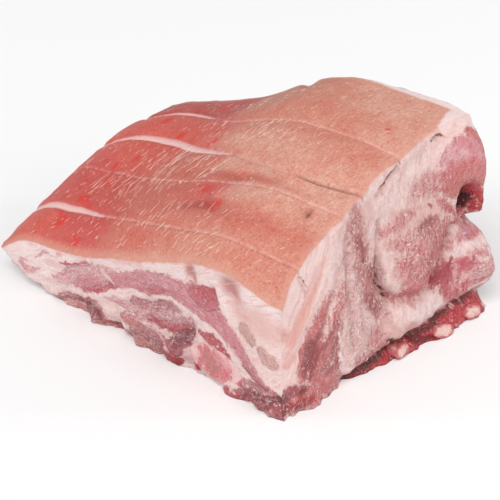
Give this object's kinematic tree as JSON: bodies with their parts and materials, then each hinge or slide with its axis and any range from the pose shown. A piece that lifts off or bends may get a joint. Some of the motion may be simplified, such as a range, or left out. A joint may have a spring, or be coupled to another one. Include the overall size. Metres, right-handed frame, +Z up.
{
  "type": "pork shoulder roast",
  "caption": "Raw bone-in pork shoulder with scored, bristly rind over fat and layered lean, cut flat at the front and the right, with sawn breastbone and rib ends showing.",
  "frame": {"origin": "middle of the outline seen from above, on the surface the roast rests on", "axes": "+X along the long front cut towards the tall right-hand cut, +Y from the front cut to the back, +Z up"},
  "size_m": [0.3083, 0.2372, 0.1516],
  "materials": {
    "meat": "moist raw rind, fat and lean",
    "bone": "moist sawn bone"
  },
  "bodies": {
    "root": {"meat": "meat", "breast_bone": "bone", "rib_1": "bone", "rib_2": "bone", "rib_3": "bone"}
  },
  "joints": []
}
